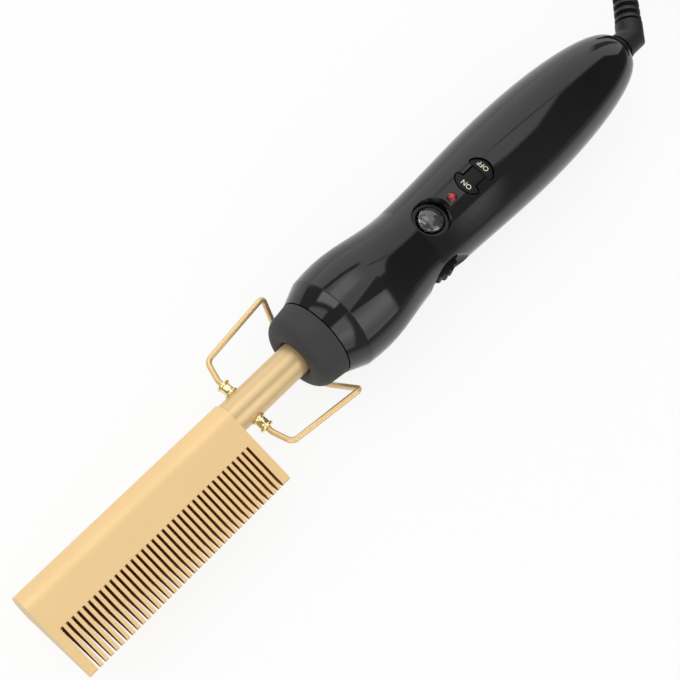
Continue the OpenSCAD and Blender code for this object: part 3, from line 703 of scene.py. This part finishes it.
def cord_route(diameter, steps):
    """Every point of the cord from the strain relief to the plug, in millimetres."""
    coil = [coil_point(k / steps) for k in range(round(COIL_TURNS * steps) + 1)]
    start = coil[0] - Vector((diameter, 0, 0))
    out = [CORD_EXIT, CORD_EXIT + CORD_STRAIGHT * CORD_WAY]
    drop = catmull([*out, *map(Vector, CORD_DROP), start - Vector((COIL_LEAD_IN, 0, 0)), start], 4)
    a = math.radians(90 - 360 * COIL_TURNS)
    way = Vector((math.sin(a), -math.cos(a), 0.0))
    inward = Vector((way.y, -way.x, 0.0))
    end = coil[-1] + diameter * way
    mid = end + TAIL_STRAIGHT[0] * way + TAIL_BEND * inward
    crest = end.z + COIL_PITCH + TAIL_CLEAR
    tail = []
    for turned in range(0, 181, TAIL_STEP):
        t = math.radians(turned)
        spot = mid + TAIL_BEND * (math.sin(t) * way - math.cos(t) * inward)
        tail.append(Vector((spot.x, spot.y, tail_height(turned, end.z, crest))))
    return [*drop, *coil, end, *tail, tail[-1] - TAIL_STRAIGHT[1] * way]


class HOTCOMB_OT_cord(Piece):
    """The mains cord, from the strain relief through its coil to the plug"""

    bl_idname = "hotcomb.cord"
    bl_label = "Mains Cord"

    def make(self):
        s = settings()[2]
        route = cord_route(s.diameter / MM, s.steps)
        curve = bpy.data.curves.new("mains_cord", "CURVE")
        curve.dimensions = "3D"
        curve.bevel_depth = s.diameter / 2
        curve.bevel_resolution = 4
        curve.use_fill_caps = True
        line = curve.splines.new("POLY")
        line.points.add(len(route) - 1)
        for spot, p in zip(line.points, route):
            spot.co = (*at(p.x, p.y, p.z), 1.0)
        mesh = as_mesh(curve)
        for f in mesh.polygons:
            f.use_smooth = True
        rubber, *_ = finish(
            "cord rubber", (0.018, 0.018, 0.019), rough=0.5, grain=2500.0, bump=0.1, drift=0.2, level=0.4
        )
        mesh.materials.append(rubber)
        cord = put("mains_cord", mesh)
        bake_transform(cord)
        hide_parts("cord_lead", "cord_coil", "cord_tail")


class HOTCOMB_OT_comb(Piece):
    """Finish of the comb and its neck tube"""

    bl_idname = "hotcomb.comb"
    bl_label = "Comb and Neck"

    def make(self):
        metal = settings()[0]
        # The comb's slot walls get painted shade
        paint(comb_material(metal.comb, metal.slot), "comb_head")
        tube, *_ = finish(
            "neck gold", metal.tube, rough=0.30, metal=0.45, grain=5000.0, bump=0.02, drift=0.05
        )
        paint(tube, "neck_tube")


# A turned bush, in millimetres: its place along the axis, and how far out it begins, its two rounded rings
# have their middles, it ends and its bore ends
BUSH_X = -22.5
BUSH_START, BUSH_RINGS, BUSH_END, BUSH_BORE_END = 5.35, (6.25, 9.95), 10.6, 6.5
# The rounding of a ring and the radius where that starts, the radii of neck and bore, and how far the slope
# from neck to ring reaches
BUSH_ROUND, BUSH_RING, BUSH_NECK, BUSH_BORE = 0.65, 1.95, 2.1, 1.14
BUSH_SLOPE = 0.25
# Parts of a ring's rounding, and sides of the bush
RING_PARTS, BUSH_SIDES = 8, 40


def turned_bush(name, node, side, material):
    """A brass bush with two rounded rings, bored for the wire, in place of its plain solid."""
    outline = [(BUSH_START, 0.0)]
    for middle in BUSH_RINGS:
        outline.append((middle - BUSH_ROUND - BUSH_SLOPE, BUSH_NECK))
        for k in range(RING_PARTS + 1):
            a = math.pi * (k / RING_PARTS - 0.5)
            outline.append((middle + BUSH_ROUND * math.sin(a), BUSH_RING + BUSH_ROUND * math.cos(a)))
    outline += [(BUSH_END, BUSH_BORE), (BUSH_BORE_END, BUSH_BORE), (BUSH_BORE_END, 0.0)]
    bm = bmesh.new()
    line = [bm.verts.new(at(BUSH_X, side * y, r)) for y, r in outline]
    edges = [bm.edges.new(pair) for pair in zip(line, line[1:])]
    bmesh.ops.spin(
        bm,
        geom=line + edges,
        cent=at(BUSH_X, 0),
        axis=(0, 1, 0),
        angle=math.tau,
        steps=BUSH_SIDES,
        use_merge=True,
    )
    bmesh.ops.remove_doubles(bm, verts=bm.verts, dist=1e-6)
    bmesh.ops.recalc_face_normals(bm, faces=bm.faces)
    for f in bm.faces:
        f.smooth = True
    mesh = bpy.data.meshes.new(name)
    bm.to_mesh(mesh)
    bm.free()
    mesh.set_sharp_from_angle(angle=math.radians(40))
    mesh.materials.append(material)
    bush = put(name, mesh)
    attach(bush, ROOT)
    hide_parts(node)


class HOTCOMB_OT_stand(Piece):
    """Finish of the folding stand, and its turned bushes"""

    bl_idname = "hotcomb.stand"
    bl_label = "Folding Stand"

    def make(self):
        metal = settings()[0]
        wire, *_ = finish(
            "stand gold", metal.wire, rough=0.34, metal=0.55, grain=3000.0, bump=0.05, drift=0.1
        )
        paint(wire, "stand_wire")
        brass, *_ = finish(
            "bush brass", metal.brass, rough=0.06, metal=1.0, grain=2500.0, bump=0.03, drift=0.08
        )
        turned_bush("bush_left", "stand_bush_left", 1, brass)
        turned_bush("bush_right", "stand_bush_right", -1, brass)


class HOTCOMB_OT_handle(Piece):
    """Finish of the shells and the collar"""

    bl_idname = "hotcomb.handle"
    bl_label = "Handle and Collar"

    def make(self):
        plastic = settings()[1]
        paint(shell_material(plastic.shell, plastic.gloss), "upper_shell", "lower_shell")
        collar, *_ = finish(
            "collar matt",
            plastic.collar,
            rough=0.62,
            grain=2500.0,
            bump=0.25,
            drift=0.15,
            smear=0.05,
            level=0.35,
        )
        paint(collar, "front_collar")


class HOTCOMB_OT_controls(Piece):
    """Finish of the button, rocker, dial and indicator"""

    bl_idname = "hotcomb.controls"
    bl_label = "Controls"

    def make(self):
        plastic = settings()[1]
        control, *_ = finish(
            "control satin", plastic.control, rough=0.38, grain=2500.0, bump=0.06, drift=0.15, level=0.12
        )
        paint(control, "rocker", "dial_wheel")
        paint(button_material(), "push_button")
        polish, *_ = finish(
            "bezel polish", (0.005, 0.005, 0.006), rough=0.10, grain=900.0, bump=0.004, drift=0.1, level=0.3
        )
        paint(polish, "button_bezel")
        paint(lamp_material(plastic.lens), "indicator_lens")


def from_middle(tree, node):
    """How far the surface is from the upright axis through the middle of a CAD node, in metres."""
    low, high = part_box(node)
    x = axis_value(tree, "X", (low[0] + high[0]) / 2)
    y = axis_value(tree, "Y", (low[1] + high[1]) / 2)
    squares = math_node(tree, "ADD", math_node(tree, "MULTIPLY", x, x), math_node(tree, "MULTIPLY", y, y))
    return math_node(tree, "SQRT", squares)


# The painted highlight round the button's edge: how far in from its rim it begins, in metres, and its colour
EDGE_HIGHLIGHT_INSET = (0.00055, 0.00045)
EDGE_HIGHLIGHT = (0.55, 0.55, 0.56)


def button_material():
    """Polished grey cap with a painted highlight round its edge: a pale metallic ring in place of the
    reflection off its rounded rim.
    """
    m, shader, tint, _ = finish(
        "button polish", (0.042, 0.042, 0.044), rough=0.05, grain=900.0, bump=0.004, drift=0.1, coat=1.0
    )
    t = m.node_tree
    low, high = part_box("push_button")
    radius = (high[0] - low[0]) / 2
    # A pale metallic ring round the edge: a painted highlight in place of the reflection off the cap's rounded
    # rim
    edge = between(t, from_middle(t, "push_button"), *[radius - inset for inset in EDGE_HIGHLIGHT_INSET])
    t.links.new(mixed(t, edge, tint.outputs["Colour"], EDGE_HIGHLIGHT), shader.inputs["Base Color"])
    t.links.new(edge, shader.inputs["Metallic"])
    return m


# Between which distances from its middle the lens's painted glow fades to painted shade, in metres, and to
# which share of its colour
LENS_GLOW_FADE = (0.0003, 0.0013)
RIM_SHADE_SHARE = 0.12


def lamp_material(colour):
    """Clear red lens with painted light: a painted glow bright in the middle, and painted shade deep red
    towards its rim and down its wall.
    """
    m, shader, tint, _ = finish(
        "lamp red", colour, rough=0.05, grain=900.0, bump=0.01, drift=0.1, coat=0.3, level=0.4
    )
    t = m.node_tree
    # Painted glow in the middle of the lens, fading to painted shade at its rim
    rim = between(t, from_middle(t, "indicator_lens"), *LENS_GLOW_FADE)
    deep = [RIM_SHADE_SHARE * c for c in colour]
    t.links.new(mixed(t, rim, tint.outputs["Colour"], deep), shader.inputs["Base Color"])
    return m


# The printed words: each with where it lies along the axis and across it, in millimetres,
# the height of their letters, and how far the ink stands off the rocker's turned face
WORDS = [("ON", 85.5, -0.4), ("OFF", 95.4, 0.3)]
LETTER_SIZE = 2.7
INK_LIFT = 0.03


def surface_word(word, x, across, radius, material):
    """A printed word on the turned face of the rocker, read towards +Y, with its top towards the comb."""
    text = bpy.data.curves.new("word_" + word.lower(), "FONT")
    text.body = word
    text.size = LETTER_SIZE * MM
    text.align_x = "CENTER"
    text.align_y = "CENTER"
    text.resolution_u = 3
    mesh = as_mesh(text)
    bm = bmesh.new()
    bm.from_mesh(mesh)
    bmesh.ops.transform(bm, matrix=Matrix.Rotation(math.radians(90), 4, "Z"), verts=bm.verts)
    middle = at(x, 0)
    for v in bm.verts:
        y = v.co.y + across * MM
        v.co = Vector((middle.x + v.co.x, AXIS.y + y, AXIS.z + math.sqrt((radius * MM) ** 2 - y * y)))
    bm.to_mesh(mesh)
    bm.free()
    mesh.materials.clear()
    mesh.materials.append(material)
    o = put("word_" + word.lower(), mesh)
    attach(o, "rocker")


class HOTCOMB_OT_markings(Piece):
    """The words ON and OFF on the rocker"""

    bl_idname = "hotcomb.markings"
    bl_label = "Markings"

    def make(self):
        marking = settings()[1].marking
        ink, *_ = finish("marking ivory", marking, rough=0.5, grain=6000.0, bump=0.05, drift=0.1)
        radius = (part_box("rocker")[1][2] - AXIS.z) / MM + INK_LIFT
        for word, x, across in WORDS:
            surface_word(word, x, across, radius, ink)


class HOTCOMB_OT_swivel(Piece):
    """Finish of the swivel and the strain relief"""

    bl_idname = "hotcomb.swivel"
    bl_label = "Swivel and Strain Relief"

    def make(self):
        rubber, *_ = finish(
            "swivel rubber",
            (0.010, 0.010, 0.011),
            rough=0.40,
            grain=3000.0,
            bump=0.12,
            drift=0.2,
            level=0.35,
        )
        paint(rubber, "swivel_elbow", "swivel_socket")
        paint(relief_material(), "strain_relief")


# How far from the cord's axis the core of the strain relief ends, in metres, and the colour of the painted
# shade on it
RELIEF_CORE = (0.0039, 0.0042)
RELIEF_SHADE = (0.0015, 0.0015, 0.0015)


def relief_material():
    """Rubber of the strain relief, matt, with painted shade in the slots between its ribs."""
    m, shader, tint, _ = finish(
        "relief rubber", (0.014, 0.014, 0.015), rough=0.42, grain=3000.0, bump=0.12, drift=0.2, level=0.45
    )
    t = m.node_tree
    where = t.nodes.new("ShaderNodeTexCoord").outputs["Object"]
    offset = vector_node(t, "SUBTRACT", where, at(*CORD_EXIT)).outputs["Vector"]
    cross = vector_node(t, "CROSS_PRODUCT", offset, CORD_WAY).outputs["Vector"]
    out = vector_node(t, "LENGTH", cross).outputs["Value"]
    # The core between the ribs gets painted shade, in place of the shadow in the slots
    slot = between(t, out, *RELIEF_CORE, 1.0, 0.0)
    t.links.new(mixed(t, slot, tint.outputs["Colour"], RELIEF_SHADE), shader.inputs["Base Color"])
    t.links.new(laid(t, roughness_link(shader), slot, 1.0), shader.inputs["Roughness"])
    return m


class HOTCOMB_OT_plug(Piece):
    """Finish of the plug, its pins and the cord tie"""

    bl_idname = "hotcomb.plug"
    bl_label = "Plug and Tie"

    def make(self):
        body, *_ = finish(
            "plug black", (0.018, 0.018, 0.019), rough=0.4, grain=2000.0, bump=0.12, drift=0.15
        )
        paint(body, "plug_body")
        pin, *_ = finish("pin nickel", (0.62, 0.60, 0.57), rough=0.2, metal=1.0, grain=3000.0, bump=0.03)
        paint(pin, "plug_pins")
        tie, *_ = finish("tie webbing", (0.02, 0.02, 0.021), rough=0.75, grain=1800.0, bump=0.4, drift=0.2)
        paint(tie, "coil_tie")


# The pieces inside: each with the name and colour of its finish, how rough it is and how metallic
INNER = {
    "heater_core": ("ceramic white", (0.70, 0.69, 0.64), 0.6, 0.0),
    "thermal_fuse": ("fuse can", (0.55, 0.55, 0.56), 0.3, 1.0),
    "heater_leads": ("lead red", (0.42, 0.03, 0.02), 0.5, 0.0),
    "tube_mount": ("phenolic brown", (0.07, 0.03, 0.015), 0.5, 0.0),
    "retaining_clip": ("spring steel", (0.45, 0.45, 0.46), 0.3, 1.0),
    "shell_screws": ("zinc steel", (0.50, 0.50, 0.51), 0.28, 1.0),
    "circuit_board": ("board green", (0.015, 0.12, 0.045), 0.35, 0.0),
    "board_components": ("part yellow", (0.45, 0.32, 0.06), 0.45, 0.0),
    "button_switch": ("switch grey", (0.06, 0.06, 0.065), 0.4, 0.0),
    "indicator_led": ("led resin", (0.12, 0.005, 0.006), 0.15, 0.0),
    "rocker_housing": ("housing grey", (0.05, 0.05, 0.055), 0.45, 0.0),
    "dial_potentiometer": ("pot can", (0.5, 0.5, 0.52), 0.3, 1.0),
    "contact_pin": ("contact brass", (0.70, 0.50, 0.20), 0.2, 1.0),
    "contact_carrier": ("carrier grey", (0.09, 0.09, 0.1), 0.5, 0.0),
    "mains_leads": ("lead blue", (0.02, 0.06, 0.30), 0.5, 0.0),
}


class HOTCOMB_OT_inside(Piece):
    """Finish of the pieces inside the handle and the comb"""

    bl_idname = "hotcomb.inside"
    bl_label = "Inner Pieces"

    def make(self):
        for node, (name, colour, rough, metal) in INNER.items():
            paint(finish(name, colour, rough=rough, metal=metal, grain=2500.0, bump=0.08)[0], node)


# The lamp's place and what it faces, in millimetres from the collar face, and its side in metres
LAMP_SPOT, LAMP_AIM, LAMP_SIDE = (-250, 450, 700), (40, 0), 0.7


def area_lamp(name, spot, aim, side, power):
    """A soft square lamp that faces a point and doesn't show in reflections."""
    data = bpy.data.lights.new(name, "AREA")
    data.size = side
    data.energy = power
    lamp = put(name, data)
    lamp.location = spot
    lamp.rotation_euler = (aim - spot).to_track_quat("-Z", "Y").to_euler()
    lamp.visible_glossy = False


# The camera's place in millimetres, and its right and up directions, from the photograph's vanishing point
CAMERA_SPOT = (-227.55, -90.0, 485.95)
CAMERA_RIGHT = (0.66857, -0.72826, 0.15051)
CAMERA_UP = (0.64343, 0.66797, 0.37392)


def seen_ray(tree):
    """1 for a ray from the camera, a reflection or a refraction, else 0."""
    path = tree.nodes.new("ShaderNodeLightPath").outputs
    direct = math_node(tree, "MAXIMUM", path["Is Camera Ray"], path["Is Glossy Ray"])
    return math_node(tree, "MAXIMUM", direct, path["Is Transmission Ray"])


# What the handle's band shows: two small boxes and a pale one, each as (lean, along, strength),
# with lean and along as (low, high, softness) in degrees
BAND_BOXES = [
    ((9, 52, 2), (-18, -6, 1.5), 2.7),
    ((16, 60, 2), (-44, -24, 1.5), 1.5),
    ((-46, -18, 2), (-42, -18, 2), 1.9),
]


def soft_boxes(tree, dark):
    """What a polished surface sees: white boxes with dark gaps, laid one over the other.

    Their places go by lean, the angle of a direction across the handle, and along, its angle towards
    the butt, both in degrees.
    """
    way = tree.nodes.new("ShaderNodeSeparateXYZ")
    tree.links.new(tree.nodes.new("ShaderNodeTexCoord").outputs["Generated"], way.inputs["Vector"])
    lean = math_node(tree, "DEGREES", math_node(tree, "ARCTAN2", way.outputs["Y"], way.outputs["Z"]))
    along = math_node(tree, "DEGREES", math_node(tree, "ARCSINE", way.outputs["X"]))

    def box(under, strength, *masks):
        return laid(tree, under, product(tree, *masks), strength)

    def across(*limits):
        return window(tree, lean, *limits)

    def length(*limits):
        return window(tree, along, *limits)

    rear = between(tree, along, 22.5, 25.5)
    front = math_node(tree, "SUBTRACT", 1.0, rear)
    ahead = between(tree, along, 14, 22, 1.0, 0.0)
    low = between(tree, along, -4, 4, 1.0, 0.0)

    light = between(tree, along, 28, 44, 1.35, 1.1)
    # Two brighter boxes towards the comb
    light = box(light, 2.3, front, across(-66, -36, 9))
    light = box(light, 2.4, ahead, across(12, 38, 5))
    # Dark gaps between the boxes: a wedge, the shade beside it, a slanted line and a wide dark field
    off_wedge = math_node(tree, "ABSOLUTE", math_node(tree, "ADD", lean, 20))
    wedge = math_node(tree, "SUBTRACT", between(tree, along, 4, 24, 1, 16), off_wedge)
    light = box(light, 0.3, between(tree, wedge, -1, 1), length(4, 26, 1))
    light = box(light, 0.4, across(-110, -17, 3), length(-16, -1, 2))
    line = between(tree, along, 6, 22, 56, 42)
    light = box(light, 0.33, across(line, 4.0, 1.0), length(4, 24, 2))
    light = box(light, 0.3, low, across(-17, 106, 3))
    for lean_limits, along_limits, strength in BAND_BOXES:
        light = box(light, strength, across(*lean_limits), length(*along_limits))
    # The dark room in front of the comb
    light = laid(tree, light, between(tree, along, -58, -48, 1.0, 0.0), 0.3)
    # The dark side behind the teeth, a thin gap in the tent, and its far corner
    edge = math_node(
        tree, "ADD", between(tree, along, 33, 41, -9, 13), between(tree, along, 60, 70, 0, -38)
    )
    shade = between(tree, math_node(tree, "SUBTRACT", lean, edge), -4, 4, 1.0, 0.0)
    light = box(light, between(tree, along, 28, 48, 1.15 * dark, 0.55 * dark), rear, shade)
    seam = between(tree, along, 26, 40, 27, 17)
    light = box(light, 0.55, rear, across(seam, 1.6, 0.8), length(26, 42, 2))
    return box(light, dark, across(52, 78, 3), length(55, 80, 2))


# Half the floor's side, and from where to where across it its reflection dims, in metres, and to what
FLOOR_HALF = 3.0
FLOOR_FADE, FLOOR_DIM = (-0.20, -0.08), 0.3


class HOTCOMB_OT_stage(Piece):
    """Floor, world, lamp and camera"""

    bl_idname = "hotcomb.stage"
    bl_label = "Stage"

    def make(self):
        s = settings()[3]
        self.camera(s.lens)
        self.floor(s.floor)
        self.world(s.world, s.dark)
        area_lamp("lamp_main", at(*LAMP_SPOT), at(*LAMP_AIM), LAMP_SIDE, s.key)
        bpy.context.scene.view_settings.view_transform = "Standard"

    def camera(self, lens):
        right, up = Vector(CAMERA_RIGHT), Vector(CAMERA_UP)
        back = right.cross(up).normalized()
        up = back.cross(right).normalized()
        data = bpy.data.cameras.new("camera")
        data.lens = lens
        data.sensor_width = 36.0
        data.clip_start = 0.01
        data.clip_end = 20.0
        eye = put("camera", data)
        turn = Matrix((right.normalized(), up, back)).transposed().to_4x4()
        eye.matrix_world = Matrix.Translation(Vector(CAMERA_SPOT) * MM) @ turn
        bpy.context.scene.camera = eye

    def floor(self, white):
        bm = bmesh.new()
        bmesh.ops.create_grid(bm, x_segments=1, y_segments=1, size=FLOOR_HALF)
        mesh = bpy.data.meshes.new("floor")
        bm.to_mesh(mesh)
        bm.free()
        floor = put("floor", mesh)
        m = bpy.data.materials.new("floor white")
        m.use_nodes = True
        t = m.node_tree
        paper = t.nodes["Principled BSDF"]
        paper.inputs["Base Color"].default_value = (0.95, 0.95, 0.95, 1)
        paper.inputs["Roughness"].default_value = 0.9
        paper.inputs["Specular IOR Level"].default_value = 0.1
        glow = t.nodes.new("ShaderNodeEmission")
        polished = t.nodes.new("ShaderNodeLightPath").outputs["Is Glossy Ray"]
        far = between(t, axis_value(t, "Y"), *FLOOR_FADE, FLOOR_DIM, 1.0)
        t.links.new(laid(t, 1.0, polished, far), glow.inputs["Strength"])
        mix = t.nodes.new("ShaderNodeMixShader")
        t.links.new(math_node(t, "MULTIPLY", seen_ray(t), white), mix.inputs["Fac"])
        t.links.new(paper.outputs["BSDF"], mix.inputs[1])
        t.links.new(glow.outputs["Emission"], mix.inputs[2])
        t.links.new(mix.outputs["Shader"], t.nodes["Material Output"].inputs["Surface"])
        mesh.materials.append(m)

    def world(self, strength, dark):
        """White for the camera, even light for the colours, and soft boxes for what is polished."""
        world = bpy.data.worlds.new("studio")
        world.use_nodes = True
        t = world.node_tree
        seen = t.nodes.new("ShaderNodeLightPath").outputs
        level = laid(t, strength, seen["Is Glossy Ray"], soft_boxes(t, dark))
        back = t.nodes["Background"]
        back.inputs["Color"].default_value = (1, 1, 1, 1)
        white = math_node(t, "MAXIMUM", seen["Is Camera Ray"], seen["Is Transmission Ray"])
        t.links.new(laid(t, level, white, 1.0), back.inputs["Strength"])
        bpy.context.scene.world = world


OPERATORS = (
    HOTCOMB_OT_stage,
    HOTCOMB_OT_cord,
    HOTCOMB_OT_comb,
    HOTCOMB_OT_stand,
    HOTCOMB_OT_handle,
    HOTCOMB_OT_controls,
    HOTCOMB_OT_markings,
    HOTCOMB_OT_swivel,
    HOTCOMB_OT_plug,
    HOTCOMB_OT_inside,
)
GROUPS_OF_SETTINGS = (HotCombMetal, HotCombPlastic, HotCombCord, HotCombStage)
SETTING_NAMES = ("hot_comb_metal", "hot_comb_plastic", "hot_comb_cord", "hot_comb_stage")


class HOTCOMB_PT_panel(bpy.types.Panel):
    """Lists the pieces and the settings of the hot comb"""

    bl_idname = "HOTCOMB_PT_panel"
    bl_label = "Hot Comb"
    bl_space_type = "VIEW_3D"
    bl_region_type = "UI"
    bl_category = "Hot Comb"

    def draw(self, context):
        column = self.layout.column(align=True)
        for operator in OPERATORS:
            column.operator(operator.bl_idname)
        for name in SETTING_NAMES:
            box = self.layout.box()
            held = getattr(context.scene, name)
            for key in held.bl_rna.properties.keys():
                if key not in {"rna_type", "name"}:
                    box.prop(held, key)


CLASSES = (*GROUPS_OF_SETTINGS, *OPERATORS, HOTCOMB_PT_panel)


def register():
    for c in CLASSES:
        bpy.utils.register_class(c)
    for name, kind in zip(SETTING_NAMES, GROUPS_OF_SETTINGS):
        setattr(bpy.types.Scene, name, PointerProperty(type=kind))


def unregister():
    for name in SETTING_NAMES:
        delattr(bpy.types.Scene, name)
    for c in reversed(CLASSES):
        bpy.utils.unregister_class(c)


def main():
    """Makes every piece and the stage."""
    register()
    for operator in OPERATORS:
        getattr(bpy.ops.hotcomb, operator.bl_idname.split(".")[1])()


if __name__ == "__main__":
    main()
